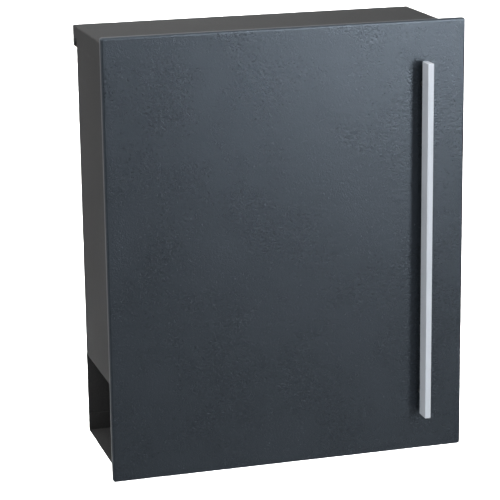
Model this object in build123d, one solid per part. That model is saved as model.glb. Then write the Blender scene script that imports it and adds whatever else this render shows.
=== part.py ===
from build123d import *
import os

# Wall mounted mailbox in folded sheet steel.  Millimetres, +Z up, front faces -Y, +X to the
# right.  The origin is the centre of the four wall holes, on the plane of the wall (Y = 0).

# ---- driving dimensions ------------------------------------------------------------------
# Door: a shallow cassette with a return flange and an inner lip all round
DOOR_OVERHANG = 7.0
DOOR_HEIGHT = 420.0
DOOR_SHEET = 1.2
DOOR_FLANGE = 8.0
DOOR_LIP = 16.0
DOOR_BEND = 2.2

# Body shell
BODY_WIDTH = 334.0
BODY_DEPTH = 126.0
BODY_SHEET = 1.0
BODY_BEND = 1.5
SIDE_FLANGE = 12.0
SIDE_HEM = 4.0
LETTER_FLOOR_HEIGHT = 84.0
LETTER_LIP = 25.0
FLOOR_FLANGE = 14.0
TRAY_HEIGHT = 5.0
TRAY_LIP = 20.0
TRAY_REAR_FLANGE = 18.0
RAIL_LEG = 18.0
RAIL_SHELF = 14.0
BACK_TOP_DROP = 3.0

# Wall fixing
WALL_STANDOFF = 13.0
HOLE_SPACING_X = 250.0
HOLE_SPACING_Z = 240.0
HOLE_CENTRE_HEIGHT = 240.0
WALL_HOLE_RADIUS = 2.75
SPACER_RADIUS = 9.0
SPACER_NECK_RADIUS = 5.5
SPACER_FLANGE_RADIUS = 8.0
SPACER_FLANGE = 1.5

# Lid: hinged on two pins near its rear lower corners
LID_DROP = 8.0
LID_SHEET = 1.0
LID_BEND = 1.5
LID_SKIRT = 20.0
LID_FRONT_LIP = 8.0
LID_REAR_LIP = 12.0
LID_OVERHANG = 4.0
LID_SIDE_GAP = 1.3
LID_HEADROOM = 3.0
LID_DOOR_GAP = 2.4
LID_PIN_INSET = 12.0
LID_PIN_RISE = 5.0
LID_PIN_RADIUS = 2.5
LID_PIN_HEAD_RADIUS = 4.0
LID_PIN_HEAD = 1.6
LID_PIN_HEAD_EASE = 0.9
LID_PIN_TAIL = 2.5
LID_CLIP_RADIUS = 4.5
LID_CLIP = 1.2
LID_WASHER_RADIUS = 5.0

# Butt hinges in the gap between the door and the body
HINGE_BARREL_RADIUS = 2.5
HINGE_PIN_RADIUS = 1.25
HINGE_PIN_HEAD_RADIUS = 2.2
HINGE_PIN_HEAD = 1.0
HINGE_PIN_HEAD_EASE = 0.5
HINGE_EDGE = 4.0
HINGE_LEAF = 1.0
HINGE_LEAF_WIDTH = 11.0
HINGE_LENGTH = 44.0
HINGE_KNUCKLE = 18.0
HINGE_RIVET_SPAN = 28.0
HINGE_BELOW_LID = 14.0
HINGE_ABOVE_LIP = 8.0

# Handle: a slim upright bar on two short posts
HANDLE_LENGTH = 345.0
HANDLE_WIDTH = 5.8
HANDLE_DEPTH = 15.5
HANDLE_GAP = 5.5
HANDLE_EASE = 0.7
HANDLE_FROM_EDGE = 42.0
HANDLE_POST_RADIUS = 2.8
HANDLE_POST_INSET = 22.0
HANDLE_SCREW_RADIUS = 2.0
HANDLE_SCREW_BITE = 9.0
SCREW_HEAD_RADIUS = 3.75
SCREW_HEAD = 2.6
SCREW_HEAD_EASE = 1.2
WASHER_RADIUS = 4.6
WASHER = 0.8
BACKING_WIDTH = 28.0
BACKING_SHEET = 1.5
BACKING_MARGIN = 8.0

# Door stiffener: a hat section up the middle of the door
STIFFENER_WEB = 30.0
STIFFENER_FOOT = 10.0
STIFFENER_DEPTH = 5.0
STIFFENER_SHEET = 1.0
STIFFENER_MARGIN = 20.0

# Cam lock in the right side panel
LOCK_HEIGHT = 250.0
LOCK_SETBACK = 17.0
LOCK_BARREL_RADIUS = 8.0
LOCK_BARREL_LENGTH = 18.0
LOCK_BEZEL_RADIUS = 11.0
LOCK_BEZEL = 2.2
LOCK_BEZEL_EASE = 1.0
LOCK_PLUG_RADIUS = 6.0
LOCK_NUT_ACROSS = 21.0
LOCK_NUT = 3.0
KEYWAY_WIDTH = 1.6
KEYWAY_HEIGHT = 7.0
KEYWAY_DEPTH = 6.0
CAM_SHEET = 2.0
CAM_WIDTH = 10.0
CAM_REACH = 24.0
CAM_CORNER = 3.0
CAM_SCREW_RADIUS = 2.0
CAM_SCREW_HEAD_RADIUS = 4.0
CAM_SCREW_HEAD = 2.2
CAM_SCREW_HEAD_EASE = 1.0
CAM_SCREW_BITE = 8.0
STRIKE_SHEET = 1.5
STRIKE_FOOT = 12.0
STRIKE_HEIGHT = 28.0
STRIKE_TAB = 8.0
STRIKE_CAM_GAP = 2.5
STRIKE_RISE = 6.0

# Rubber bumpers
BUMPER_RADIUS = 4.0
BUMPER_EASE = 0.8
DOOR_BUMPER_HEIGHTS = (104.0, 372.0)
LID_BUMPER_SPREAD = 240.0

# Blind rivets
RIVET_RADIUS = 1.6
RIVET_HEAD_RADIUS = 3.0
RIVET_HEAD = 0.9
RIVET_HEAD_EASE = 0.6
RIVET_TAIL_RADIUS = 2.3
RIVET_TAIL = 1.2
REAR_SEAM_HEIGHTS = (110.0, 245.0, 380.0)
FLOOR_RIVET_INSET = 24.0
CROSS_RIVET_SPREAD = 260.0

# Clearances
RUNNING_CLEARANCE = 0.05
FIXING_CLEARANCE = 0.05
SHEET_CLEARANCE = 0.3
REST_GAP = 0.2
MOVING_GAP = 0.3
CUT = 1.0
PLANE_TOLERANCE = 0.01

# ---- levels and planes worked out from them ------------------------------------------------
door_half = BODY_WIDTH / 2 + DOOR_OVERHANG
body_half = BODY_WIDTH / 2
inner_half = body_half - BODY_SHEET

back_rear = -WALL_STANDOFF
back_front = back_rear - BODY_SHEET
body_front = back_rear - BODY_DEPTH
hinge_gap = 2 * (HINGE_BARREL_RADIUS + MOVING_GAP)
hinge_y = body_front - hinge_gap / 2
door_rear = body_front - hinge_gap
door_front = door_rear - DOOR_FLANGE
skin_inside = door_front + DOOR_SHEET
hinge_x = -door_half + HINGE_EDGE

door_bottom = -HOLE_CENTRE_HEIGHT
door_top = door_bottom + DOOR_HEIGHT
tray_bottom = door_bottom + TRAY_HEIGHT
side_bottom = door_bottom + LETTER_FLOOR_HEIGHT
floor_bottom = side_bottom + BODY_SHEET
lid_top = door_top - LID_DROP
lid_inside = lid_top - LID_SHEET
side_top = lid_inside - LID_HEADROOM
back_top = side_top - BACK_TOP_DROP
rail_top = side_top - BODY_SHEET
skirt_bottom = lid_top - LID_SKIRT

lid_half = body_half + LID_SIDE_GAP + LID_SHEET
lid_rear = back_rear + LID_OVERHANG
lid_front = door_rear + LID_DOOR_GAP
lid_pin_y = lid_rear - LID_PIN_INSET
lid_pin_z = skirt_bottom + LID_PIN_RISE

handle_x = door_half - HANDLE_FROM_EDGE
handle_rear = door_front - HANDLE_GAP
handle_front = handle_rear - HANDLE_DEPTH
handle_mid = door_bottom + DOOR_HEIGHT / 2
post_heights = [handle_mid + s * (HANDLE_LENGTH / 2 - HANDLE_POST_INSET) for s in (-1, 1)]
backing_inside = skin_inside + BACKING_SHEET

lock_y = body_front + LOCK_SETBACK
lock_z = door_bottom + LOCK_HEIGHT
lock_end = body_half - LOCK_BARREL_LENGTH
cam_inside = lock_end - CAM_SHEET
strike_x = cam_inside - STRIKE_SHEET - STRIKE_SHEET
strike_bottom = lock_z + LOCK_BARREL_RADIUS + STRIKE_RISE - (STRIKE_HEIGHT - STRIKE_TAB) / 2
strike_tab_y = lock_y + CAM_WIDTH / 2 + STRIKE_CAM_GAP

hinge_heights = {
    "upper": skirt_bottom - HINGE_BELOW_LID - HINGE_LENGTH / 2,
    "lower": floor_bottom + LETTER_LIP + HINGE_ABOVE_LIP + HINGE_LENGTH / 2,
}
rear_seam_x = body_half - SIDE_FLANGE / 2
rear_seam_z = [door_bottom + h for h in REAR_SEAM_HEIGHTS]
cross_rivet_x = [-CROSS_RIVET_SPREAD / 2, 0.0, CROSS_RIVET_SPREAD / 2]
floor_seam_y = [body_front + FLOOR_RIVET_INSET, back_front - FLOOR_RIVET_INSET]
leaf_rivet_x = hinge_x + HINGE_BARREL_RADIUS + MOVING_GAP + HINGE_LEAF_WIDTH / 2
rail_rivet_z = rail_top - RAIL_LEG / 2
floor_rivet_z = floor_bottom + FLOOR_FLANGE - 2 * RIVET_HEAD_RADIUS
tray_rivet_z = tray_bottom + TRAY_REAR_FLANGE - 2 * RIVET_HEAD_RADIUS

RIGHT = (1, 0, 0)
LEFT = (-1, 0, 0)
FRONT = (0, -1, 0)
BACK = (0, 1, 0)
UP = (0, 0, 1)
DOWN = (0, 0, -1)


# ---- helpers -------------------------------------------------------------------------------
def block(x0, x1, y0, y1, z0, z1):
    """A box between two corners."""
    centre = Pos((x0 + x1) / 2, (y0 + y1) / 2, (z0 + z1) / 2)
    return centre * Box(x1 - x0, y1 - y0, z1 - z0)


def rod(start, direction, radius, length):
    """A round bar from a point, along a direction."""
    grow = (Align.CENTER, Align.CENTER, Align.MIN)
    return Plane(origin=start, z_dir=direction) * Cylinder(radius, length, align=grow)


def rounded_rod(start, direction, radius, length, ease):
    """A round bar whose far rim is eased."""
    grow = (Align.CENTER, Align.CENTER, Align.MIN)
    bar = Cylinder(radius, length, align=grow)
    bar = fillet(bar.edges().sort_by(Axis.Z)[-1:], ease)
    return Plane(origin=start, z_dir=direction) * bar


def drill(start, direction, radius, depth):
    """The cutter for a hole: it begins a little before its start point."""
    back_off = Vector(*start) - Vector(*direction) * CUT
    return rod(back_off, direction, radius, depth + 2 * CUT)


def rivet(start, direction, grip):
    """A blind rivet: domed head at the start plane, shank through the grip, upset tail."""
    head = rounded_rod(start, direction, RIVET_HEAD_RADIUS, RIVET_HEAD, RIVET_HEAD_EASE)
    inward = -Vector(*direction)
    shank = rod(start, inward, RIVET_RADIUS, grip)
    tail = rod(Vector(*start) + inward * grip, inward, RIVET_TAIL_RADIUS, RIVET_TAIL)
    return head + shank + tail


def rivet_hole(start, direction, grip):
    """The hole that a rivet of the same grip passes through."""
    inward = tuple(-Vector(*direction))
    return drill(start, inward, RIVET_RADIUS + FIXING_CLEARANCE, grip)


def outer_edges(shape, axis, value):
    """The edges that lie in the plane where one coordinate has the given value."""
    return shape.edges().filter_by_position(axis, value - PLANE_TOLERANCE, value + PLANE_TOLERANCE)


def group(solids):
    """Several loose solids of one kind in one node."""
    return Compound(children=list(solids))


# ---- where the rivets go: (start point, direction of the head, grip) -------------------------
sheets = 2 * BODY_SHEET
back_rivets_at = [((s * rear_seam_x, back_rear, z), BACK, sheets) for s in (-1, 1) for z in rear_seam_z]
floor_back_at = [((x, back_rear, floor_rivet_z), BACK, sheets) for x in cross_rivet_x]
tray_back_at = [((x, back_rear, tray_rivet_z), BACK, sheets) for x in cross_rivet_x]
floor_side_at = [((s * rear_seam_x, y, side_bottom), DOWN, sheets) for s in (-1, 1) for y in floor_seam_y]
rail_at = [((s * rear_seam_x, body_front, rail_rivet_z), FRONT, sheets) for s in (-1, 1)]
leaf_grip_body = HINGE_LEAF + BODY_SHEET
leaf_grip_door = HINGE_LEAF + DOOR_SHEET
hinge_body_at = [
    ((leaf_rivet_x, body_front - HINGE_LEAF, z + s * HINGE_RIVET_SPAN / 2), FRONT, leaf_grip_body)
    for z in hinge_heights.values() for s in (-1, 1)]
hinge_door_at = [
    ((leaf_rivet_x, door_rear + HINGE_LEAF, z + s * HINGE_RIVET_SPAN / 2), BACK, leaf_grip_door)
    for z in hinge_heights.values() for s in (-1, 1)]


def drilled(shape, places):
    """The shape with a hole for each rivet in the list."""
    for start, direction, grip in places:
        shape -= rivet_hole(start, direction, grip)
    return shape


# ---- body shell ----------------------------------------------------------------------------
def back_panel():
    plate = block(-body_half, body_half, back_front, back_rear, tray_bottom, back_top)
    plate = drilled(plate, back_rivets_at + floor_back_at + tray_back_at)
    for x, z in wall_hole_places():
        plate -= drill((x, back_rear, z), FRONT, SPACER_NECK_RADIUS + FIXING_CLEARANCE, BODY_SHEET)
    return plate


def wall_hole_places():
    half_x = HOLE_SPACING_X / 2
    half_z = HOLE_SPACING_Z / 2
    return [(sx * half_x, sz * half_z) for sx in (-1, 1) for sz in (-1, 1)]


def side_blank():
    """The right side: a shallow tray, open towards the inside of the box."""
    reach = body_half - SIDE_FLANGE
    shell = block(reach, body_half, body_front, back_front, side_bottom, side_top)
    shell = fillet(outer_edges(shell, Axis.X, body_half), BODY_BEND)
    shell -= block(reach - CUT, inner_half, body_front + BODY_SHEET, back_front - BODY_SHEET,
                   side_bottom + BODY_SHEET, rail_top)
    shell -= block(reach - CUT, body_half - SIDE_HEM, body_front + BODY_SHEET,
                   back_front - BODY_SHEET, rail_top - CUT, side_top + CUT)
    bore = LID_PIN_RADIUS + FIXING_CLEARANCE
    shell -= drill((inner_half, lid_pin_y, lid_pin_z), RIGHT, bore, BODY_SHEET)
    return shell


def side_panel_right():
    panel = drilled(side_blank(), back_rivets_at + floor_side_at + rail_at)
    return panel - drill((inner_half, lock_y, lock_z), RIGHT,
                         LOCK_BARREL_RADIUS + FIXING_CLEARANCE, BODY_SHEET)


def side_panel_left():
    panel = mirror(side_blank(), about=Plane.YZ)
    return drilled(panel, back_rivets_at + floor_side_at + rail_at + hinge_body_at)


def letter_floor():
    edge = inner_half - SHEET_CLEARANCE
    flange_edge = body_half - SIDE_FLANGE - SHEET_CLEARANCE
    front = body_front + BODY_SHEET
    rear = back_front - BODY_SHEET
    floor_top = floor_bottom + BODY_SHEET
    plate = block(-edge, edge, front, rear, floor_bottom, floor_top)
    plate += block(-edge, edge, front, front + BODY_SHEET, floor_bottom, floor_bottom + LETTER_LIP)
    plate += block(-flange_edge, flange_edge, rear, back_front, floor_bottom, floor_bottom + FLOOR_FLANGE)
    return drilled(plate, floor_back_at + floor_side_at)


def newspaper_tray():
    top = tray_bottom + BODY_SHEET
    tray = block(-body_half, body_half, body_front, back_front, tray_bottom, tray_bottom + TRAY_LIP)
    tray -= block(-body_half - CUT, body_half + CUT, body_front + BODY_SHEET, back_front - BODY_SHEET,
                  top, tray_bottom + TRAY_LIP + CUT)
    tray -= block(-body_half - CUT, body_half + CUT, back_front - BODY_SHEET - CUT, back_front + CUT,
                  tray_bottom + TRAY_REAR_FLANGE, tray_bottom + TRAY_LIP + CUT)
    long_edges = outer_edges(tray, Axis.Z, tray_bottom).filter_by(Axis.X)
    tray = fillet(long_edges.sort_by(Axis.Y)[:1], BODY_BEND)
    return drilled(tray, tray_back_at)


def top_front_rail():
    edge = inner_half - SHEET_CLEARANCE
    front = body_front + BODY_SHEET
    leg = block(-edge, edge, front, front + BODY_SHEET, rail_top - RAIL_LEG, rail_top)
    shelf = block(-edge, edge, front, front + RAIL_SHELF, rail_top - BODY_SHEET, rail_top)
    return drilled(leg + shelf, rail_at)


def wall_spacers():
    """Rubber grommet spacers: the wall screws pass through their bores."""
    spacers = []
    for x, z in wall_hole_places():
        body = rod((x, back_rear, z), BACK, SPACER_RADIUS, WALL_STANDOFF)
        neck = rod((x, back_front, z), BACK, SPACER_NECK_RADIUS, BODY_SHEET)
        flange = rod((x, back_front, z), FRONT, SPACER_FLANGE_RADIUS, SPACER_FLANGE)
        whole = body + neck + flange
        length = WALL_STANDOFF + BODY_SHEET + SPACER_FLANGE
        spacers.append(whole - drill((x, 0, z), FRONT, WALL_HOLE_RADIUS, length))
    return group(spacers)


# ---- lid -----------------------------------------------------------------------------------
def lid_cover():
    inside = lid_half - LID_SHEET
    cover = block(-lid_half, lid_half, lid_front, lid_rear, skirt_bottom, lid_top)
    cover = fillet(outer_edges(cover, Axis.Z, lid_top), LID_BEND)
    cover -= block(-inside, inside, lid_front + LID_SHEET, lid_rear - LID_SHEET,
                   skirt_bottom - CUT, lid_inside)
    cover -= block(-inside, inside, lid_front - CUT, lid_front + LID_SHEET + CUT,
                   skirt_bottom - CUT, lid_top - LID_FRONT_LIP)
    cover -= block(-inside, inside, lid_rear - LID_SHEET - CUT, lid_rear + CUT,
                   skirt_bottom - CUT, lid_top - LID_REAR_LIP)
    bore = LID_PIN_RADIUS + RUNNING_CLEARANCE
    return cover - drill((-lid_half, lid_pin_y, lid_pin_z), RIGHT, bore, 2 * lid_half)


def lid_pin(side):
    """A headed pin through the lid's skirt and the side panel."""
    outward = (side, 0, 0)
    tail = side * (inner_half - LID_CLIP - LID_PIN_TAIL)
    head_face = side * (lid_half + MOVING_GAP)
    shank = rod((tail, lid_pin_y, lid_pin_z), outward, LID_PIN_RADIUS, abs(head_face - tail))
    head = rounded_rod((head_face, lid_pin_y, lid_pin_z), outward, LID_PIN_HEAD_RADIUS,
                       LID_PIN_HEAD, LID_PIN_HEAD_EASE)
    return shank + head


def lid_pin_clips():
    """Push-on rings that keep the lid pins in the side panels."""
    rings = []
    for side in (-1, 1):
        start = (side * inner_half, lid_pin_y, lid_pin_z)
        inward = (-side, 0, 0)
        ring = rod(start, inward, LID_CLIP_RADIUS, LID_CLIP)
        rings.append(ring - drill(start, inward, LID_PIN_RADIUS + FIXING_CLEARANCE, LID_CLIP))
    return group(rings)


def lid_washers():
    """Thin washers between the side panels and the lid's skirts."""
    rings = []
    for side in (-1, 1):
        start = (side * body_half, lid_pin_y, lid_pin_z)
        outward = (side, 0, 0)
        thickness = LID_SIDE_GAP - MOVING_GAP
        ring = rod(start, outward, LID_WASHER_RADIUS, thickness)
        rings.append(ring - drill(start, outward, LID_PIN_RADIUS + FIXING_CLEARANCE, thickness))
    return group(rings)


def lid_bumpers():
    """Rubber pads on the top rail, under the front of the lid."""
    height = lid_inside - rail_top - REST_GAP
    y = body_front + BODY_SHEET + RAIL_SHELF / 2
    places = [(s * LID_BUMPER_SPREAD / 2, y, rail_top) for s in (-1, 1)]
    return group(rounded_rod(place, UP, BUMPER_RADIUS, height, BUMPER_EASE) for place in places)


# ---- door ----------------------------------------------------------------------------------
def door_panel():
    panel = block(-door_half, door_half, door_front, door_rear, door_bottom, door_top)
    panel = fillet(panel.edges(), DOOR_BEND)
    panel -= block(-door_half + DOOR_SHEET, door_half - DOOR_SHEET, skin_inside, door_rear - DOOR_SHEET,
                   door_bottom + DOOR_SHEET, door_top - DOOR_SHEET)
    panel -= block(-door_half + DOOR_LIP, door_half - DOOR_LIP, door_rear - DOOR_SHEET - CUT,
                   door_rear + CUT, door_bottom + DOOR_LIP, door_top - DOOR_LIP)
    for z in post_heights:
        panel -= drill((handle_x, door_front, z), BACK, HANDLE_SCREW_RADIUS + FIXING_CLEARANCE, DOOR_SHEET)
    return drilled(panel, hinge_door_at)


def door_stiffener():
    low = door_bottom + STIFFENER_MARGIN
    high = door_top - STIFFENER_MARGIN
    half = STIFFENER_WEB / 2
    wide = half + STIFFENER_FOOT
    crown = skin_inside + STIFFENER_DEPTH
    hat = block(-half, half, skin_inside, crown, low, high)
    hat -= block(-half + STIFFENER_SHEET, half - STIFFENER_SHEET, skin_inside - CUT,
                 crown - STIFFENER_SHEET, low - CUT, high + CUT)
    for side in (-1, 1):
        inner, outer = sorted((side * half, side * wide))
        hat += block(inner, outer, skin_inside, skin_inside + STIFFENER_SHEET, low, high)
    return hat


def handle_bar():
    half = HANDLE_WIDTH / 2
    low = handle_mid - HANDLE_LENGTH / 2
    bar = block(handle_x - half, handle_x + half, handle_front, handle_rear, low, low + HANDLE_LENGTH)
    bar = fillet(bar.edges(), HANDLE_EASE)
    for z in post_heights:
        hole = rod((handle_x, handle_rear + CUT, z), FRONT, HANDLE_SCREW_RADIUS + FIXING_CLEARANCE,
                   HANDLE_SCREW_BITE + 2 * CUT)
        bar -= hole
    return bar


def handle_posts():
    """Short sleeves between the bar and the door."""
    posts = []
    for z in post_heights:
        start = (handle_x, handle_rear, z)
        sleeve = rod(start, BACK, HANDLE_POST_RADIUS, HANDLE_GAP)
        posts.append(sleeve - drill(start, BACK, HANDLE_SCREW_RADIUS + FIXING_CLEARANCE, HANDLE_GAP))
    return group(posts)


def handle_backing_strip():
    half = BACKING_WIDTH / 2
    low = post_heights[0] - HANDLE_POST_INSET - BACKING_MARGIN
    high = post_heights[1] + HANDLE_POST_INSET + BACKING_MARGIN
    strip = block(handle_x - half, handle_x + half, skin_inside, backing_inside, low, high)
    for z in post_heights:
        strip -= drill((handle_x, skin_inside, z), BACK, HANDLE_SCREW_RADIUS + FIXING_CLEARANCE,
                       BACKING_SHEET)
    return strip


def handle_screws():
    screws = []
    for z in post_heights:
        seat = backing_inside + WASHER
        length = seat - (handle_rear - HANDLE_SCREW_BITE)
        shank = rod((handle_x, seat, z), FRONT, HANDLE_SCREW_RADIUS, length)
        head = rounded_rod((handle_x, seat, z), BACK, SCREW_HEAD_RADIUS, SCREW_HEAD, SCREW_HEAD_EASE)
        screws.append(shank + head)
    return group(screws)


def handle_washers():
    rings = []
    for z in post_heights:
        start = (handle_x, backing_inside, z)
        ring = rod(start, BACK, WASHER_RADIUS, WASHER)
        rings.append(ring - drill(start, BACK, HANDLE_SCREW_RADIUS + FIXING_CLEARANCE, WASHER))
    return group(rings)


def door_bumpers():
    """Rubber pads on the body's front flanges, behind the door's inner lip."""
    height = hinge_gap - REST_GAP
    x = body_half - BUMPER_RADIUS - REST_GAP - 2 * MOVING_GAP
    places = [(x, door_bottom + h) for h in DOOR_BUMPER_HEIGHTS]
    places.append((-x, (hinge_heights["upper"] + hinge_heights["lower"]) / 2))
    return group(rounded_rod((px, body_front, pz), FRONT, BUMPER_RADIUS, height, BUMPER_EASE)
                 for px, pz in places)


# ---- hinges --------------------------------------------------------------------------------
def knuckle(z0, z1, leaf_y0, leaf_y1):
    """One turn of the barrel with the strip that ties it to its leaf."""
    barrel = rod((hinge_x, hinge_y, z0), UP, HINGE_BARREL_RADIUS, z1 - z0)
    leaf_edge = hinge_x + HINGE_BARREL_RADIUS + MOVING_GAP
    strip = block(hinge_x, leaf_edge, leaf_y0, leaf_y1, z0, z1)
    return barrel + strip


def hinge_leaf(z, leaf_y0, leaf_y1, spans, bore):
    low = z - HINGE_LENGTH / 2
    edge = hinge_x + HINGE_BARREL_RADIUS + MOVING_GAP
    leaf = block(edge, edge + HINGE_LEAF_WIDTH, leaf_y0, leaf_y1, low, low + HINGE_LENGTH)
    for z0, z1 in spans:
        leaf += knuckle(z0, z1, leaf_y0, leaf_y1)
    return leaf - drill((hinge_x, hinge_y, low), UP, bore, HINGE_LENGTH)


def hinge_leaf_body(z):
    """The leaf on the side panel's front flange, with the two outer knuckles."""
    half_gap = (HINGE_KNUCKLE + 2 * MOVING_GAP) / 2
    end = HINGE_LENGTH / 2
    spans = [(z - end, z - half_gap), (z + half_gap, z + end)]
    bore = HINGE_PIN_RADIUS + RUNNING_CLEARANCE
    leaf = hinge_leaf(z, body_front - HINGE_LEAF, body_front, spans, bore)
    return drilled(leaf, hinge_body_at)


def hinge_leaf_door(z):
    """The leaf on the door's inner lip, with the middle knuckle."""
    half = HINGE_KNUCKLE / 2
    bore = HINGE_PIN_RADIUS + RUNNING_CLEARANCE
    leaf = hinge_leaf(z, door_rear, door_rear + HINGE_LEAF, [(z - half, z + half)], bore)
    return drilled(leaf, hinge_door_at)


def hinge_pin(z):
    """The pin, with a small head that rests on the upper knuckle."""
    low = z - HINGE_LENGTH / 2
    shank = rod((hinge_x, hinge_y, low), UP, HINGE_PIN_RADIUS, HINGE_LENGTH)
    head = rounded_rod((hinge_x, hinge_y, low + HINGE_LENGTH), UP, HINGE_PIN_HEAD_RADIUS,
                       HINGE_PIN_HEAD, HINGE_PIN_HEAD_EASE)
    return shank + head


# ---- lock ----------------------------------------------------------------------------------
def lock_barrel():
    bezel = rounded_rod((body_half, lock_y, lock_z), RIGHT, LOCK_BEZEL_RADIUS, LOCK_BEZEL,
                        LOCK_BEZEL_EASE)
    barrel = rod((body_half, lock_y, lock_z), LEFT, LOCK_BARREL_RADIUS, LOCK_BARREL_LENGTH)
    whole = bezel + barrel
    return whole - drill((lock_end, lock_y, lock_z), RIGHT, LOCK_PLUG_RADIUS + RUNNING_CLEARANCE,
                         LOCK_BARREL_LENGTH + LOCK_BEZEL)


def lock_nut():
    across = RegularPolygon(LOCK_NUT_ACROSS / 2, 6, major_radius=False)
    nut = Plane(origin=(inner_half, lock_y, lock_z), z_dir=LEFT) * extrude(across, LOCK_NUT)
    return nut - drill((inner_half, lock_y, lock_z), LEFT, LOCK_BARREL_RADIUS + FIXING_CLEARANCE, LOCK_NUT)


def lock_plug():
    """The turning core, with a keyway in its outer face."""
    face = body_half + LOCK_BEZEL - MOVING_GAP
    plug = rod((lock_end, lock_y, lock_z), RIGHT, LOCK_PLUG_RADIUS, face - lock_end)
    plug -= block(face - KEYWAY_DEPTH, face + CUT, lock_y - KEYWAY_HEIGHT / 2, lock_y + KEYWAY_HEIGHT / 2,
                  lock_z - KEYWAY_WIDTH / 2, lock_z + KEYWAY_WIDTH / 2)
    hole = CAM_SCREW_RADIUS + FIXING_CLEARANCE
    return plug - drill((lock_end, lock_y, lock_z), RIGHT, hole, CAM_SCREW_BITE)


def lock_cam():
    """Unlocked, the arm points to the front; locked, it points up, in front of the strike."""
    half = CAM_WIDTH / 2
    hub = rod((lock_end - MOVING_GAP, lock_y, lock_z), LEFT, LOCK_PLUG_RADIUS, CAM_SHEET)
    arm = block(cam_inside - MOVING_GAP, lock_end - MOVING_GAP, lock_y - CAM_REACH, lock_y,
                lock_z - half, lock_z + half)
    arm = fillet(outer_edges(arm, Axis.Y, lock_y - CAM_REACH).filter_by(Axis.X), CAM_CORNER)
    hole = CAM_SCREW_RADIUS + FIXING_CLEARANCE
    return hub + arm - drill((lock_end - MOVING_GAP, lock_y, lock_z), LEFT, hole, CAM_SHEET)


def cam_screw():
    seat = (cam_inside - MOVING_GAP, lock_y, lock_z)
    shank = rod(seat, RIGHT, CAM_SCREW_RADIUS, CAM_SHEET + CAM_SCREW_BITE)
    head = rounded_rod(seat, LEFT, CAM_SCREW_HEAD_RADIUS, CAM_SCREW_HEAD, CAM_SCREW_HEAD_EASE)
    return shank + head


def lock_strike():
    """A bracket on the door whose rear tab the cam catches."""
    high = strike_bottom + STRIKE_HEIGHT
    foot = block(strike_x - STRIKE_FOOT, strike_x, backing_inside, backing_inside + STRIKE_SHEET,
                 strike_bottom, high)
    leg = block(strike_x, strike_x + STRIKE_SHEET, backing_inside, strike_tab_y + STRIKE_SHEET,
                strike_bottom, high)
    tab = block(strike_x, strike_x + STRIKE_TAB, strike_tab_y, strike_tab_y + STRIKE_SHEET,
                lock_z + LOCK_BARREL_RADIUS + STRIKE_RISE, high)
    return foot + leg + tab


# ---- build everything ------------------------------------------------------------------------
pieces = {
    "back_panel": back_panel(),
    "side_panel_left": side_panel_left(),
    "side_panel_right": side_panel_right(),
    "letter_floor": letter_floor(),
    "newspaper_tray": newspaper_tray(),
    "top_front_rail": top_front_rail(),
    "wall_spacers": wall_spacers(),
    "lid_cover": lid_cover(),
    "lid_pin_left": lid_pin(-1),
    "lid_pin_right": lid_pin(1),
    "lid_pin_clips": lid_pin_clips(),
    "lid_washers": lid_washers(),
    "lid_bumpers": lid_bumpers(),
    "door_panel": door_panel(),
    "door_stiffener": door_stiffener(),
    "door_bumpers": door_bumpers(),
    "handle_bar": handle_bar(),
    "handle_posts": handle_posts(),
    "handle_backing_strip": handle_backing_strip(),
    "handle_screws": handle_screws(),
    "handle_washers": handle_washers(),
    "lock_barrel": lock_barrel(),
    "lock_nut": lock_nut(),
    "lock_plug": lock_plug(),
    "lock_cam": lock_cam(),
    "cam_screw": cam_screw(),
    "lock_strike": lock_strike(),
    "rivets_back_seams": group(rivet(*place) for place in back_rivets_at),
    "rivets_floor_back": group(rivet(*place) for place in floor_back_at),
    "rivets_floor_sides": group(rivet(*place) for place in floor_side_at),
    "rivets_tray": group(rivet(*place) for place in tray_back_at),
    "rivets_rail": group(rivet(*place) for place in rail_at),
    "rivets_hinge_body": group(rivet(*place) for place in hinge_body_at),
    "rivets_hinge_door": group(rivet(*place) for place in hinge_door_at),
}
for place, height in hinge_heights.items():
    pieces["hinge_leaf_body_" + place] = hinge_leaf_body(height)
    pieces["hinge_leaf_door_" + place] = hinge_leaf_door(height)
    pieces["hinge_pin_" + place] = hinge_pin(height)

os.makedirs("parts", exist_ok=True)
for node, shape in pieces.items():
    export_step(shape, "parts/" + node + ".step")
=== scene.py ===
import math

import bmesh
import bpy
from mathutils import Matrix, Vector

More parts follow.
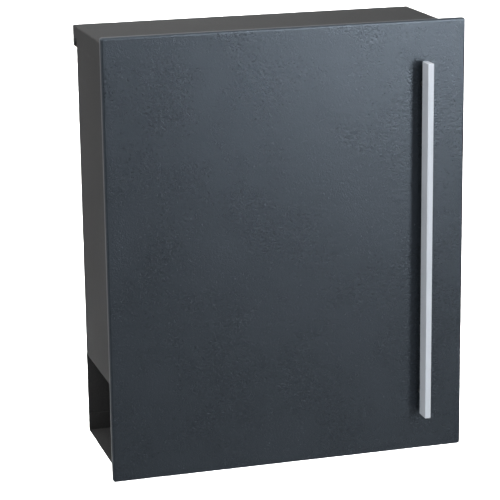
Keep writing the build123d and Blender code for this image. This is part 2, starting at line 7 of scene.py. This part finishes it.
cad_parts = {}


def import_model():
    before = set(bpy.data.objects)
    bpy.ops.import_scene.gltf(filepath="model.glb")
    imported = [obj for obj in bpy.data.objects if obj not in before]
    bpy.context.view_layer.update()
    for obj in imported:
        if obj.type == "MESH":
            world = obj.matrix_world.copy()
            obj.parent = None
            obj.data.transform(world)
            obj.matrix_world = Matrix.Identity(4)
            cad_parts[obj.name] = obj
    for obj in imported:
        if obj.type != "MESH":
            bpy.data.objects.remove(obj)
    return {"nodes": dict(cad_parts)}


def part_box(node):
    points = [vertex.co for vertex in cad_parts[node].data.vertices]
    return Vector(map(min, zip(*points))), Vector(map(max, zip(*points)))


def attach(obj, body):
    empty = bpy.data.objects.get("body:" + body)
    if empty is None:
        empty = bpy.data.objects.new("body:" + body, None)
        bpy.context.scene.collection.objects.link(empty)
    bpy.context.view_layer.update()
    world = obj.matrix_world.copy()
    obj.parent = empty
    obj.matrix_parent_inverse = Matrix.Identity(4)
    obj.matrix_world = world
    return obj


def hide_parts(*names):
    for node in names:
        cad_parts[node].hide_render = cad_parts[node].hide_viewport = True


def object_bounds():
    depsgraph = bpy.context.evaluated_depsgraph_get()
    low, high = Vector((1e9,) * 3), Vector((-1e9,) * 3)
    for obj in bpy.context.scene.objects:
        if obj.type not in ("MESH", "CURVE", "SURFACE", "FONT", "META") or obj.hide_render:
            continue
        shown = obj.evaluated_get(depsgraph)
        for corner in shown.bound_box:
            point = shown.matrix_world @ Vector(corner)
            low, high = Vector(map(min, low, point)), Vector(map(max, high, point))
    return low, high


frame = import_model()
cad_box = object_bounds()

MM = 0.001
UP = Vector((0, 0, 1))
DOWN = Vector((0, 0, -1))
FRONT = Vector((0, -1, 0))
BACK = Vector((0, 1, 0))
RIGHT = Vector((1, 0, 0))
LEFT = Vector((-1, 0, 0))


# ---- shader maths --------------------------------------------------------------------------
class Value:
    """A number that varies over a surface, as a socket that takes Python's operators."""

    def __init__(self, finish, socket):
        self.finish = finish
        self.socket = socket

    def math(self, operation, *operands):
        inputs = dict(enumerate(operands))
        return self.finish.node("ShaderNodeMath", {"operation": operation}, inputs)

    def __add__(self, other):
        return self.math("ADD", self, other)

    def __radd__(self, other):
        return self.math("ADD", other, self)

    def __sub__(self, other):
        return self.math("SUBTRACT", self, other)

    def __rsub__(self, other):
        return self.math("SUBTRACT", other, self)

    def __mul__(self, other):
        return self.math("MULTIPLY", self, other)

    def __rmul__(self, other):
        return self.math("MULTIPLY", other, self)

    def least(self, other):
        return self.math("MINIMUM", self, other)

    def most(self, other):
        return self.math("MAXIMUM", self, other)

    def above(self, start, end):
        """0 at start and under, 1 at end and over, with a soft step between."""
        settings = {"interpolation_type": "SMOOTHSTEP"}
        return self.finish.node("ShaderNodeMapRange", settings, {"Value": self, 1: start, 2: end})


# A Mix node in colour mode: its sockets by number, because three of them share each name
MIX_FACTOR, MIX_A, MIX_B, MIX_RESULT = 0, 6, 7, 2


class Finish:
    """One material, built round a Principled shader whose patterns read Object coordinates."""

    def __init__(self, name):
        self.material = bpy.data.materials.new(name)
        self.material.use_nodes = True
        self.tree = self.material.node_tree
        self.shader = self.tree.nodes["Principled BSDF"]
        self.place = self.node("ShaderNodeTexCoord", output="Object")

    def put(self, socket, value):
        if isinstance(value, Value):
            self.tree.links.new(value.socket, socket)
        else:
            socket.default_value = value

    def node(self, kind, settings=None, inputs=None, output=0):
        """A node with its settings made first, then the values or links of its sockets."""
        made = self.tree.nodes.new(kind)
        for name, value in (settings or {}).items():
            setattr(made, name, value)
        for key, value in (inputs or {}).items():
            self.put(made.inputs[key], value)
        return Value(self, made.outputs[output])

    def stretched(self, x, y, z):
        """The place, scaled apart along each axis, for grain that runs one way."""
        return self.node("ShaderNodeMapping", None, {"Vector": self.place, "Scale": (x, y, z)})

    def noise(self, size, detail=3.0, place=None, roughness=0.55, distortion=0.0):
        """Cloudy noise from about 0.3 to 0.7, whose lumps are about size metres."""
        inputs = {"Vector": place or self.place, "Scale": 1 / size, "Detail": detail,
                  "Roughness": roughness, "Distortion": distortion}
        return self.node("ShaderNodeTexNoise", None, inputs, "Fac")

    def cells(self, size):
        """Distance to the nearest of scattered points about size metres apart."""
        inputs = {"Vector": self.place, "Scale": 1 / size}
        return self.node("ShaderNodeTexVoronoi", {"feature": "F1"}, inputs, "Distance")

    def axis(self, index):
        return self.node("ShaderNodeSeparateXYZ", None, {0: self.place}, index)

    def edge_distance(self, low, high):
        """How far a point on a box's faces is from the nearest edge of the box, in metres."""
        gaps = []
        for index in range(3):
            along = self.axis(index)
            gaps.append((along - low[index]).least(high[index] - along))
        a, b, c = gaps
        return a.least(b).most(a.most(b).least(c))

    def blend(self, first, second, share):
        """One colour turning into another."""
        inputs = {MIX_FACTOR: share, MIX_A: self.colour(first), MIX_B: self.colour(second)}
        return self.node("ShaderNodeMix", {"data_type": "RGBA"}, inputs, MIX_RESULT)

    def colour(self, value):
        return value if isinstance(value, Value) else (*value, 1)

    def relief(self, height, depth, under=None):
        """A bump of the given depth in metres, on top of another bump if there is one."""
        inputs = {"Height": height, "Strength": 1.0, "Distance": depth}
        if under:
            inputs["Normal"] = under
        return self.node("ShaderNodeBump", None, inputs, "Normal")

    def done(self, **sockets):
        """Sets the shader's sockets, by name with underscores for spaces."""
        for name, value in sockets.items():
            socket = self.shader.inputs[name.replace("_", " ")]
            self.put(socket, value)
        return self.material


# ---- finishes ------------------------------------------------------------------------------
ANTHRACITE = (0.0128, 0.0156, 0.0190)
ANTHRACITE_WORN = (0.034, 0.041, 0.049)
CABINET_GREY = (0.0340, 0.0338, 0.0340)
CABINET_GREY_WORN = (0.095, 0.094, 0.091)
WEAR_WIDTH = 1.6 * MM
BEND_DULL = (0.3 * MM, 1.1 * MM)
FLANGE_FLAT = (1.9 * MM, 2.5 * MM)
# Pale colour for the flat of the door's flange: a painted highlight, standing in for light on the
# return flange
FLANGE_PAINTED_HIGHLIGHT = (0.090, 0.092, 0.096)
BLUE_FLAKE = (0.74, 0.86, 1.0)
CABINET_ROUGHNESS = 0.62
CABINET_REFLECTION = 0.12
DOOR_ROUGHNESS = 0.25
DOOR_REFLECTION = 0.6


def powder_coat(name, tint, worn, box, roughness, reflection, flake=(1, 1, 1), flanged=False):
    """Fine textured powder coat: sandy grain, faint clouds, and paler film where edges rub.

    Flake is the colour that metallic pigment gives the reflections. On a flanged sheet the film
    is dull from the front bend to the back, and the flat of the flange between the bends is
    painted pale: a painted highlight that stands in for light falling on the return flange.
    """
    f = Finish(name)
    sand = f.noise(0.7 * MM, 2)
    grain = f.noise(1.7 * MM, 3, roughness=0.7)
    cloud = f.noise(60 * MM, 4)
    pit = f.cells(1.3 * MM).above(0.15, 0.5)
    edge = f.edge_distance(*box)
    rubbed = (1 - edge.above(0.0, WEAR_WIDTH)) * f.noise(9 * MM, 5).above(0.46, 0.62)
    share = (grain - 0.5) * 1.1 + (cloud - 0.5) * 0.9 + (sand - 0.5) * 0.5 + 0.5
    dark = tuple(0.86 * c for c in tint)
    light = tuple(1.14 * c for c in tint)
    paint = f.blend(f.blend(dark, light, share.above(0.1, 0.9)), worn, rubbed * 0.55)
    orange_peel = f.relief(f.noise(2.3 * MM, 2), 0.16 * MM)
    texture = f.relief(sand * 0.15 + grain * 0.75 + pit * 0.3, 0.22 * MM, orange_peel)
    gloss = roughness + (cloud - 0.5) * 0.06 + (grain - 0.5) * 0.08
    if flanged:
        behind_face = f.axis(1) - box[0].y
        before_back = box[1].y - f.axis(1)
        flat = behind_face.above(*FLANGE_FLAT) * before_back.above(*FLANGE_FLAT)
        gloss = gloss + behind_face.above(*BEND_DULL) * 0.35
        # Painted highlight: the flat of the flange turns pale, standing in for light falling on the
        # return flange
        paint = f.blend(paint, FLANGE_PAINTED_HIGHLIGHT, flat * 0.9)
    return f.done(Base_Color=paint, Roughness=gloss, Normal=texture, Specular_IOR_Level=reflection,
                  Specular_Tint=(*flake, 1))


def brushed_steel(name, box):
    """Stainless steel brushed along the bar's length."""
    f = Finish(name)
    along = f.stretched(1, 1, 0.012)
    fine = f.noise(0.22 * MM, 2, along)
    broad = f.noise(1.1 * MM, 3, along)
    cloud = f.noise(35 * MM, 3)
    scratch = f.noise(0.5 * MM, 0, f.stretched(1, 1, 0.05)).above(0.66, 0.72)
    edge = 1 - f.edge_distance(*box).above(0.0, 0.8 * MM)
    shade = (fine - 0.5) * 0.7 + (broad - 0.5) * 0.8 + (cloud - 0.5) * 0.3 + 0.5
    metal = f.blend((0.40, 0.425, 0.465), (0.58, 0.61, 0.655), shade + edge * 0.3)
    gloss = 0.62 + (fine - 0.5) * 0.22 + (cloud - 0.5) * 0.10 - edge * 0.06
    lines = f.relief(fine * 0.5 + broad * 0.5 - scratch * 0.5, 0.02 * MM)
    return f.done(Base_Color=metal, Metallic=0.35, Roughness=gloss, Normal=lines, Anisotropic=0.7)


def zinc_plate(name):
    """Bright zinc: a faint crystal pattern, patchy gloss and a trace of yellow."""
    f = Finish(name)
    crystal = f.cells(2.6 * MM)
    patch = f.noise(11 * MM, 4)
    fine = f.noise(0.5 * MM, 3)
    shade = crystal * 0.5 + (patch - 0.5) * 1.2 + 0.25
    metal = f.blend((0.43, 0.44, 0.45), (0.70, 0.69, 0.655), shade.above(0.0, 1.0))
    gloss = 0.34 + (patch - 0.5) * 0.3 + (fine - 0.5) * 0.1
    skin = f.relief(fine * 0.5 + crystal * 0.5, 0.02 * MM)
    return f.done(Base_Color=metal, Metallic=1.0, Roughness=gloss, Normal=skin)


def rivet_aluminium(name):
    """Drawn aluminium, dulled a little unevenly."""
    f = Finish(name)
    patch = f.noise(3 * MM, 4)
    fine = f.noise(0.35 * MM, 3)
    metal = f.blend((0.47, 0.48, 0.49), (0.76, 0.765, 0.77), patch.above(0.25, 0.75))
    gloss = 0.33 + (patch - 0.5) * 0.3 + (fine - 0.5) * 0.12
    return f.done(Base_Color=metal, Metallic=1.0, Roughness=gloss, Normal=f.relief(fine, 0.02 * MM))


def blackened_steel(name):
    """Black oxide on steel, rubbed a little at the high spots."""
    f = Finish(name)
    patch = f.noise(2.4 * MM, 4)
    fine = f.noise(0.4 * MM, 3)
    skin = f.blend((0.006, 0.006, 0.007), (0.022, 0.022, 0.023), patch.above(0.35, 0.75))
    gloss = 0.38 + (patch - 0.5) * 0.25
    return f.done(Base_Color=skin, Metallic=0.2, Roughness=gloss, Normal=f.relief(fine, 0.03 * MM))


def nickel_plate(name):
    """Bright nickel over a casting, with a soft waviness and fine handling marks."""
    f = Finish(name)
    wave = f.noise(4 * MM, 2)
    marks = f.noise(0.3 * MM, 2, f.stretched(1, 1, 0.2)).above(0.6, 0.7)
    metal = f.blend((0.62, 0.60, 0.57), (0.80, 0.785, 0.76), wave.above(0.2, 0.8))
    gloss = 0.17 + (wave - 0.5) * 0.12 + marks * 0.14
    skin = f.relief(wave - marks * 0.06, 0.05 * MM)
    return f.done(Base_Color=metal, Metallic=1.0, Roughness=gloss, Normal=skin)


def moulded_rubber(name):
    """Black rubber with a matt moulded skin and a little dust."""
    f = Finish(name)
    skin = f.noise(0.8 * MM, 4)
    dust = f.noise(6 * MM, 5).above(0.5, 0.75)
    tint = f.blend((0.014, 0.014, 0.0145), (0.052, 0.050, 0.047), dust * 0.6 + (skin - 0.5) * 0.3)
    gloss = 0.66 + (skin - 0.5) * 0.3 + dust * 0.12
    return f.done(Base_Color=tint, Roughness=gloss, Normal=f.relief(skin, 0.06 * MM))


def natural_nylon(name):
    """Milky nylon with faint flow marks."""
    f = Finish(name)
    flow = f.noise(3 * MM, 3, distortion=0.6)
    tint = f.blend((0.62, 0.60, 0.54), (0.76, 0.75, 0.70), flow.above(0.3, 0.7))
    gloss = 0.42 + (flow - 0.5) * 0.2
    return f.done(Base_Color=tint, Roughness=gloss, Normal=f.relief(flow, 0.03 * MM),
                  Subsurface_Weight=0.1, Subsurface_Radius=(0.001, 0.001, 0.001))


def give(finish, *names):
    for name in names:
        slots = frame["nodes"][name].data.materials
        slots.clear()
        slots.append(finish)


CABINET_SHEETS = ("back_panel", "side_panel_left", "side_panel_right", "letter_floor",
                  "newspaper_tray", "top_front_rail")
for sheet in (*CABINET_SHEETS, "lid_cover"):
    matt = powder_coat("matt_coat_" + sheet, CABINET_GREY, CABINET_GREY_WORN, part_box(sheet),
                       CABINET_ROUGHNESS, CABINET_REFLECTION)
    give(matt, sheet)
for sheet in ("door_panel", "door_stiffener"):
    satin = powder_coat("satin_coat_" + sheet, ANTHRACITE, ANTHRACITE_WORN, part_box(sheet),
                        DOOR_ROUGHNESS, DOOR_REFLECTION, BLUE_FLAKE, flanged=sheet == "door_panel")
    give(satin, sheet)

give(brushed_steel("brushed_steel_bar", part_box("handle_bar")), "handle_bar")

zinc = zinc_plate("bright_zinc")
HINGE_PIECES = [kind + place for place in ("upper", "lower")
                for kind in ("hinge_leaf_body_", "hinge_leaf_door_", "hinge_pin_")]
give(zinc, *HINGE_PIECES, "handle_backing_strip", "handle_washers", "lock_nut", "lock_cam",
     "lock_strike", "lid_pin_clips")
aluminium = rivet_aluminium("rivet_aluminium")
nickel = nickel_plate("nickel_plate")
give(nickel, "lock_plug")
give(blackened_steel("black_oxide"), "lid_pin_left", "lid_pin_right", "handle_posts")
rubber = moulded_rubber("moulded_rubber")
give(rubber, "lid_bumpers", "door_bumpers")
give(natural_nylon("natural_nylon"), "lid_washers")


# ---- turned pieces -------------------------------------------------------------------------
SMOOTH_BELOW = 40


def turned(profile, start, direction, segments):
    """A bmesh turned from a profile of (radius, height) in mm, standing on start along direction."""
    shape = bmesh.new()
    points = [shape.verts.new((r * MM, 0, h * MM)) for r, h in profile]
    edges = [shape.edges.new(pair) for pair in zip(points, points[1:])]
    bmesh.ops.spin(shape, geom=points + edges, cent=(0, 0, 0), axis=UP, dvec=(0, 0, 0),
                   angle=math.tau, steps=segments, use_merge=True, use_duplicate=False)
    bmesh.ops.remove_doubles(shape, verts=shape.verts, dist=0.001 * MM)
    bmesh.ops.recalc_face_normals(shape, faces=shape.faces)
    turn = UP.rotation_difference(direction).to_matrix().to_4x4()
    bmesh.ops.transform(shape, matrix=Matrix.Translation(start) @ turn, verts=shape.verts)
    return shape


def piece(name, shapes, body, finish, stands_for):
    """One object from several bmeshes, on its body and in place of its CAD node."""
    mesh = bpy.data.meshes.new(name)
    whole = bmesh.new()
    for shape in shapes:
        part = bpy.data.meshes.new(name + "_part")
        shape.to_mesh(part)
        whole.from_mesh(part)
        bpy.data.meshes.remove(part)
        shape.free()
    whole.to_mesh(mesh)
    whole.free()
    mesh.shade_smooth()
    mesh.set_sharp_from_angle(angle=math.radians(SMOOTH_BELOW))
    mesh.materials.append(finish)
    made = bpy.data.objects.new(name, mesh)
    bpy.context.scene.collection.objects.link(made)
    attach(made, body)
    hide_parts(stands_for)


def between(low, high, count):
    """Evenly spaced places from low to high."""
    if count == 1:
        return [(low + high) / 2]
    return [low + (high - low) * i / (count - 1) for i in range(count)]


# ---- blind rivets --------------------------------------------------------------------------
RIVET_HEAD_RADIUS = 3.0
RIVET_HEAD = 0.9
RIVET_SHANK_RADIUS = 1.6
RIVET_TAIL_RADIUS = 2.3
RIVET_TAIL = 1.2
RIVET_STEPS = 32


def rivet_profile(grip):
    """From the broken mandrel in the head's dimple, over the dome, down to the upset tail."""
    dome = [(0.95 + 1.95 * math.sin(a), 0.15 + 0.75 * math.cos(a))
            for a in (math.radians(d) for d in (8, 30, 50, 68, 82))]
    dimple = [(0, 0.52), (0.42, 0.52), (0.5, 0.44), (0.56, 0.3), (0.74, 0.3), (0.86, 0.84)]
    rim = [(RIVET_HEAD_RADIUS, 0.1), (RIVET_HEAD_RADIUS, 0), (RIVET_SHANK_RADIUS, 0)]
    tail = [(RIVET_SHANK_RADIUS, -grip), (2.0, -grip), (RIVET_TAIL_RADIUS, -grip - 0.3),
            (RIVET_TAIL_RADIUS, -grip - 0.85), (1.9, -grip - RIVET_TAIL), (1.0, -grip - RIVET_TAIL),
            (0.85, -grip - 0.95), (0, -grip - 0.95)]
    return dimple + dome + rim + tail


def rivet_places(node, direction, counts, heights=None):
    """The start point of each head: a grid of rivets that fills the node's box."""
    low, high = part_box(node)
    inset = RIVET_HEAD_RADIUS * MM
    spots = []
    for index in range(3):
        if direction[index]:
            face = high[index] if direction[index] > 0 else low[index]
            spots.append([face - direction[index] * RIVET_HEAD * MM])
        else:
            spots.append(between(low[index] + inset, high[index] - inset, counts[index]))
    if heights:
        spots[2] = heights
    return [Vector((x, y, z)) for x in spots[0] for y in spots[1] for z in spots[2]]


def rivet_grip(node, direction):
    low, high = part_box(node)
    whole = abs((high - low).dot(direction)) / MM
    return whole - RIVET_HEAD - RIVET_TAIL


def rivets(node, body, direction, counts, heights=None):
    profile = rivet_profile(rivet_grip(node, direction))
    shapes = [turned(profile, start, direction, RIVET_STEPS)
              for start in rivet_places(node, direction, counts, heights)]
    piece(node + "_detailed", shapes, body, aluminium, node)


def hinge_rivet_heights(node, leaf):
    """Two rivets on each hinge leaf, as far from its middle as the highest one is."""
    middles = [sum(corner.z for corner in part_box(leaf + place)) / 2 for place in ("lower", "upper")]
    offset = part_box(node)[1].z - RIVET_HEAD_RADIUS * MM - middles[1]
    return [middle + side * offset for middle in middles for side in (-1, 1)]


rivets("rivets_back_seams", "cabinet", BACK, (2, 1, 3))
rivets("rivets_floor_back", "cabinet", BACK, (3, 1, 1))
rivets("rivets_tray", "cabinet", BACK, (3, 1, 1))
rivets("rivets_floor_sides", "cabinet", DOWN, (2, 2, 1))
rivets("rivets_rail", "cabinet", FRONT, (2, 1, 1))
rivets("rivets_hinge_body", "cabinet", FRONT, (1, 1, 4),
       hinge_rivet_heights("rivets_hinge_body", "hinge_leaf_body_"))
rivets("rivets_hinge_door", "door", BACK, (1, 1, 4),
       hinge_rivet_heights("rivets_hinge_door", "hinge_leaf_door_"))


# ---- socket screws -------------------------------------------------------------------------
SCREW_STEPS = 36
SCREW_SHANK_RADIUS = 2.0
SOCKET_ACROSS = 2.5
HANDLE_SOCKET_DEPTH = 1.4
CAM_SOCKET_DEPTH = 1.3
THREAD_PITCH = 0.7
THREAD_DEPTH = 0.22


def hex_socket(shape, rim_radius, across, top, depth):
    """Closes a head's open crown with a six sided socket."""
    rim = [e for e in shape.edges if e.is_boundary]
    corner = across / 2 / math.cos(math.pi / 6)
    lip = bmesh.ops.create_circle(shape, cap_ends=False, segments=6, radius=corner * MM)["verts"]
    bmesh.ops.translate(shape, verts=lip, vec=(0, 0, top * MM))
    lip_edges = list({e for v in lip for e in v.link_edges})
    bmesh.ops.bridge_loops(shape, edges=rim + lip_edges)
    walls = bmesh.ops.extrude_edge_only(shape, edges=lip_edges)["geom"]
    floor = [g for g in walls if isinstance(g, bmesh.types.BMVert)]
    bmesh.ops.translate(shape, verts=floor, vec=(0, 0, -depth * MM))
    bmesh.ops.contextual_create(shape, geom=floor)


def socket_screw(start, direction, head_radius, head, shank_radius, length, across, depth):
    """A button headed screw: the head above start, the threaded shank below it."""
    crown = across / 2 / math.cos(math.pi / 6) + 0.25
    dome = [(crown + (head_radius - crown) * math.sin(a), head * 0.25 + head * 0.75 * math.cos(a))
            for a in (math.radians(d) for d in (0, 22, 42, 60, 76, 90))]
    profile = dome + [(head_radius, 0.1), (head_radius - 0.1, 0), (shank_radius, 0)]
    rings = int((length - 1) / THREAD_PITCH)
    for ring in range(rings):
        crest = -1 - ring * THREAD_PITCH
        profile.append((shank_radius, crest))
        profile.append((shank_radius - THREAD_DEPTH, crest - THREAD_PITCH / 2))
    profile += [(shank_radius, -length + 0.3), (shank_radius - 0.4, -length), (0, -length)]
    shape = turned(profile, Vector(), UP, SCREW_STEPS)
    hex_socket(shape, crown, across, head, depth)
    bmesh.ops.recalc_face_normals(shape, faces=shape.faces)
    turn = UP.rotation_difference(direction).to_matrix().to_4x4()
    bmesh.ops.transform(shape, matrix=Matrix.Translation(start) @ turn, verts=shape.verts)
    return shape


def handle_screws():
    low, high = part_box("handle_screws")
    head_radius = (high.x - low.x) / 2
    x = (low.x + high.x) / 2
    head = high.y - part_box("handle_washers")[1].y
    seat = high.y - head
    length = seat - low.y
    shapes = [socket_screw(Vector((x, seat, z)), BACK, head_radius / MM, head / MM,
                           SCREW_SHANK_RADIUS, length / MM, SOCKET_ACROSS, HANDLE_SOCKET_DEPTH)
              for z in (low.z + head_radius, high.z - head_radius)]
    piece("handle_screws_detailed", shapes, "door", zinc, "handle_screws")


def cam_screw():
    low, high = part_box("cam_screw")
    head_radius = (high.z - low.z) / 2
    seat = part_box("lock_cam")[0].x
    start = Vector((seat, (low.y + high.y) / 2, (low.z + high.z) / 2))
    head = (seat - low.x) / MM
    length = (high.x - seat) / MM
    shape = socket_screw(start, LEFT, head_radius / MM, head, SCREW_SHANK_RADIUS, length,
                         SOCKET_ACROSS, CAM_SOCKET_DEPTH)
    piece("cam_screw_detailed", [shape], "lock_core", zinc, "cam_screw")


handle_screws()
cam_screw()


# ---- lock barrel ---------------------------------------------------------------------------
LOCK_BORE = 6.05
LOCK_BARREL_RADIUS = 8.0
LOCK_THREAD_PITCH = 1.0
LOCK_THREAD_DEPTH = 0.35
LOCK_STEPS = 64


def lock_barrel():
    """A stepped bezel outside the panel and a threaded barrel inside it."""
    low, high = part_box("lock_barrel")
    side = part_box("side_panel_right")[1].x
    bezel_radius = (high.z - low.z) / 2 / MM
    bezel = (high.x - side) / MM
    inside = (side - low.x) / MM
    bore = LOCK_BORE
    barrel_radius = LOCK_BARREL_RADIUS
    profile = [(bore, -inside), (bore, bezel - 0.5), (bore + 0.4, bezel - 0.1), (bore + 0.9, bezel),
               (bezel_radius - 3.0, bezel), (bezel_radius - 2.7, bezel - 0.25),
               (bezel_radius - 2.2, bezel - 0.25), (bezel_radius - 1.9, bezel),
               (bezel_radius - 1.1, bezel - 0.05), (bezel_radius - 0.4, bezel - 0.4),
               (bezel_radius, bezel - 1.0), (bezel_radius, 0.15), (bezel_radius - 0.15, 0),
               (barrel_radius, 0), (barrel_radius, -2.0)]
    for ring in range(int((inside - 3) / LOCK_THREAD_PITCH)):
        profile.append((barrel_radius - LOCK_THREAD_DEPTH, -2.5 - ring * LOCK_THREAD_PITCH))
        profile.append((barrel_radius, -3.0 - ring * LOCK_THREAD_PITCH))
    profile += [(barrel_radius - 0.4, -inside), (bore, -inside)]
    centre = Vector((side, (low.y + high.y) / 2, (low.z + high.z) / 2))
    piece("lock_barrel_detailed", [turned(profile, centre, RIGHT, LOCK_STEPS)], "cabinet",
          nickel, "lock_barrel")


lock_barrel()


# ---- wall spacers --------------------------------------------------------------------------
SPACER_RADIUS = 9.0
SPACER_BORE = 2.75
SPACER_NECK = 5.5
SPACER_FLANGE_RADIUS = 8.0
SPACER_GROOVES = (0.72, 0.5, 0.28)
SPACER_STEPS = 48


def wall_spacers():
    """Rubber grommets with eased rims, three grooves and a neck where the sheet sits."""
    low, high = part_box("wall_spacers")
    rear_of_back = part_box("back_panel")[1].y
    front_of_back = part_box("back_panel")[0].y
    radius = SPACER_RADIUS
    bore = SPACER_BORE
    neck = SPACER_NECK
    flange_radius = SPACER_FLANGE_RADIUS
    standoff = (high.y - rear_of_back) / MM
    sheet = (rear_of_back - front_of_back) / MM
    flange = (front_of_back - low.y) / MM
    profile = [(bore, standoff - 0.4), (bore + 0.4, standoff), (radius - 1.0, standoff),
               (radius - 0.3, standoff - 0.3), (radius, standoff - 1.0)]
    for height in SPACER_GROOVES:
        middle = standoff * height
        profile += [(radius, middle + 0.7), (radius - 0.5, middle + 0.35),
                    (radius - 0.5, middle - 0.35), (radius, middle - 0.7)]
    profile += [(radius, 0.3), (radius - 0.3, 0), (neck, 0), (neck, -sheet),
                (flange_radius - 0.2, -sheet), (flange_radius, -sheet - 0.2),
                (flange_radius, -sheet - flange + 0.5), (flange_radius - 0.5, -sheet - flange),
                (bore + 0.4, -sheet - flange), (bore, -sheet - flange + 0.4), (bore, standoff - 0.4)]
    places = [Vector((x, rear_of_back, z)) for x in (low.x + radius * MM, high.x - radius * MM)
              for z in (low.z + radius * MM, high.z - radius * MM)]
    shapes = [turned(profile, place, BACK, SPACER_STEPS) for place in places]
    piece("wall_spacers_detailed", shapes, "cabinet", rubber, "wall_spacers")


wall_spacers()


# ---- floor, world, lights and camera -------------------------------------------------------
FLOOR_BELOW = 0.45
FLOOR_REACH = 60.0
CARD = 0.01
COOL_WHITE = (0.96, 0.98, 1.0)
KEY_TINT = (0.95, 0.98, 1.0)
SENSOR_WIDTH = 36
FAR_CLIP = 200
floor_height = cad_box[0].z - FLOOR_BELOW
card_top = floor_height + 1.6


def floor():
    f = Finish("pale_floor")
    cloud = f.noise(0.6, 3)
    tint = f.blend((0.80, 0.80, 0.80), (0.84, 0.84, 0.84), cloud.above(0.3, 0.7))
    finish = f.done(Base_Color=tint, Roughness=0.8, Specular_IOR_Level=0.2)
    shape = bmesh.new()
    bmesh.ops.create_grid(shape, x_segments=2, y_segments=2, size=FLOOR_REACH)
    bmesh.ops.translate(shape, verts=shape.verts, vec=(0, 0, floor_height))
    mesh = bpy.data.meshes.new("floor")
    shape.to_mesh(mesh)
    shape.free()
    mesh.materials.append(finish)
    made = bpy.data.objects.new("floor", mesh)
    bpy.context.scene.collection.objects.link(made)


def flag(name, low, high, card):
    """A dark card between two corners, which only reflections see."""
    shape = bmesh.new()
    bmesh.ops.create_cube(shape, size=1)
    bmesh.ops.scale(shape, verts=shape.verts, vec=Vector(high) - Vector(low))
    bmesh.ops.translate(shape, verts=shape.verts, vec=(Vector(high) + Vector(low)) / 2)
    mesh = bpy.data.meshes.new(name)
    shape.to_mesh(mesh)
    shape.free()
    mesh.materials.append(card)
    made = bpy.data.objects.new(name, mesh)
    made.visible_camera = False
    made.visible_diffuse = False
    made.visible_shadow = False
    bpy.context.scene.collection.objects.link(made)


def world(colour, strength):
    made = bpy.data.worlds.new("studio")
    bpy.context.scene.world = made
    made.use_nodes = True
    shade = made.node_tree.nodes["Background"]
    shade.inputs["Color"].default_value = (*colour, 1)
    shade.inputs["Strength"].default_value = strength


def aim(made, place, target, turn=0):
    """Points an object's -Z at the target, turned about that line in degrees."""
    straight = (Vector(target) - Vector(place)).to_track_quat("-Z", "Y").to_matrix()
    made.location = place
    made.rotation_euler = (straight @ Matrix.Rotation(math.radians(turn), 3, "Z")).to_euler()
    bpy.context.scene.collection.objects.link(made)


def softbox(name, place, target, width, height, power, tint=(1, 1, 1), spread=180, turn=0):
    light = bpy.data.lights.new(name, "AREA")
    light.spread = math.radians(spread)
    light.shape = "RECTANGLE"
    light.size = width
    light.size_y = height
    light.energy = power
    light.color = tint
    made = bpy.data.objects.new(name, light)
    made.visible_camera = False
    aim(made, place, target, turn)


def overhead(name, place, target, strength, spread):
    light = bpy.data.lights.new(name, "SUN")
    light.energy = strength
    light.angle = math.radians(spread)
    aim(bpy.data.objects.new(name, light), place, target)


def camera(place, yaw, pitch, roll, lens):
    """Looks along yaw (from +Y towards +X) and pitch (downwards), in degrees."""
    data = bpy.data.cameras.new("camera")
    data.sensor_width = SENSOR_WIDTH
    data.lens = lens
    data.clip_end = FAR_CLIP
    turn, tilt, lean = (math.radians(a) for a in (yaw, pitch, roll))
    level = math.cos(tilt)
    forward = Vector((math.sin(turn) * level, math.cos(turn) * level, -math.sin(tilt)))
    right = Vector((math.cos(turn), -math.sin(turn), 0))
    upward = right.cross(forward)
    across = right * math.cos(lean) + upward * math.sin(lean)
    upright = upward * math.cos(lean) - right * math.sin(lean)
    made = bpy.data.objects.new("camera", data)
    bpy.context.scene.collection.objects.link(made)
    axes = Matrix((across, upright, -forward)).transposed().to_4x4()
    made.matrix_world = Matrix.Translation(place) @ axes
    bpy.context.scene.camera = made


door_low, door_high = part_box("door_panel")
door_middle = Vector(((door_low.x + door_high.x) / 2, door_low.y, (door_low.z + door_high.z) / 2))


def from_door(azimuth, elevation, distance):
    """A place seen from the middle of the door: azimuth to the right of straight out, in degrees."""
    a, e = math.radians(azimuth), math.radians(elevation)
    level = math.cos(e)
    return door_middle + distance * Vector((math.sin(a) * level, -math.cos(a) * level, math.sin(e)))


floor()

# Cards that keep the bright floor out of the reflections in the cabinet's sides and the door
black_card = Finish("black_card").done(Base_Color=(0.004, 0.004, 0.004, 1), Roughness=0.9)
grey_card = Finish("grey_card").done(Base_Color=(0.17, 0.165, 0.16, 1), Roughness=0.9)
flag("left_flag", (-0.40, 0.0, floor_height), (-0.40 + CARD, 3.5, card_top), black_card)
flag("right_flag", (0.75, -0.4, floor_height), (0.75 + CARD, 2.0, card_top), black_card)
flag("front_flag", (-2.5, -7.0, floor_height + CARD), (3.5, -0.3, floor_height + 2 * CARD),
     grey_card)

world(COOL_WHITE, strength=0.15)
overhead("overhead", place=(0, 0.8, 3), target=(0, 0, 0), strength=1.5, spread=60)
softbox("key", from_door(azimuth=26, elevation=21.5, distance=2.0), door_middle,
        width=0.33, height=2.0, power=46, tint=KEY_TINT)
softbox("fill", from_door(azimuth=-68, elevation=45, distance=1.4), door_middle,
        width=0.8, height=0.9, power=4.5, spread=90)
softbox("side", place=(-0.75, 0.15, 0.42), target=(-0.167, 0.07, 0.12),
        width=0.3, height=0.3, power=0.4, spread=60)
softbox("back", place=(1.6, 4.0, 1.6), target=(0, 0, 0.1), width=3.5, height=1.8, power=24)
softbox("pool", place=(1.0, 3.3, 1.3), target=(1.0, 3.3, -1), width=2.2, height=6.0, power=220,
        spread=60, turn=-16)
camera(place=(-0.5736, -1.9909, 0.4770), yaw=16.239, pitch=14.709, roll=-0.707, lens=153.42)
bpy.context.scene.view_settings.view_transform = "Standard"
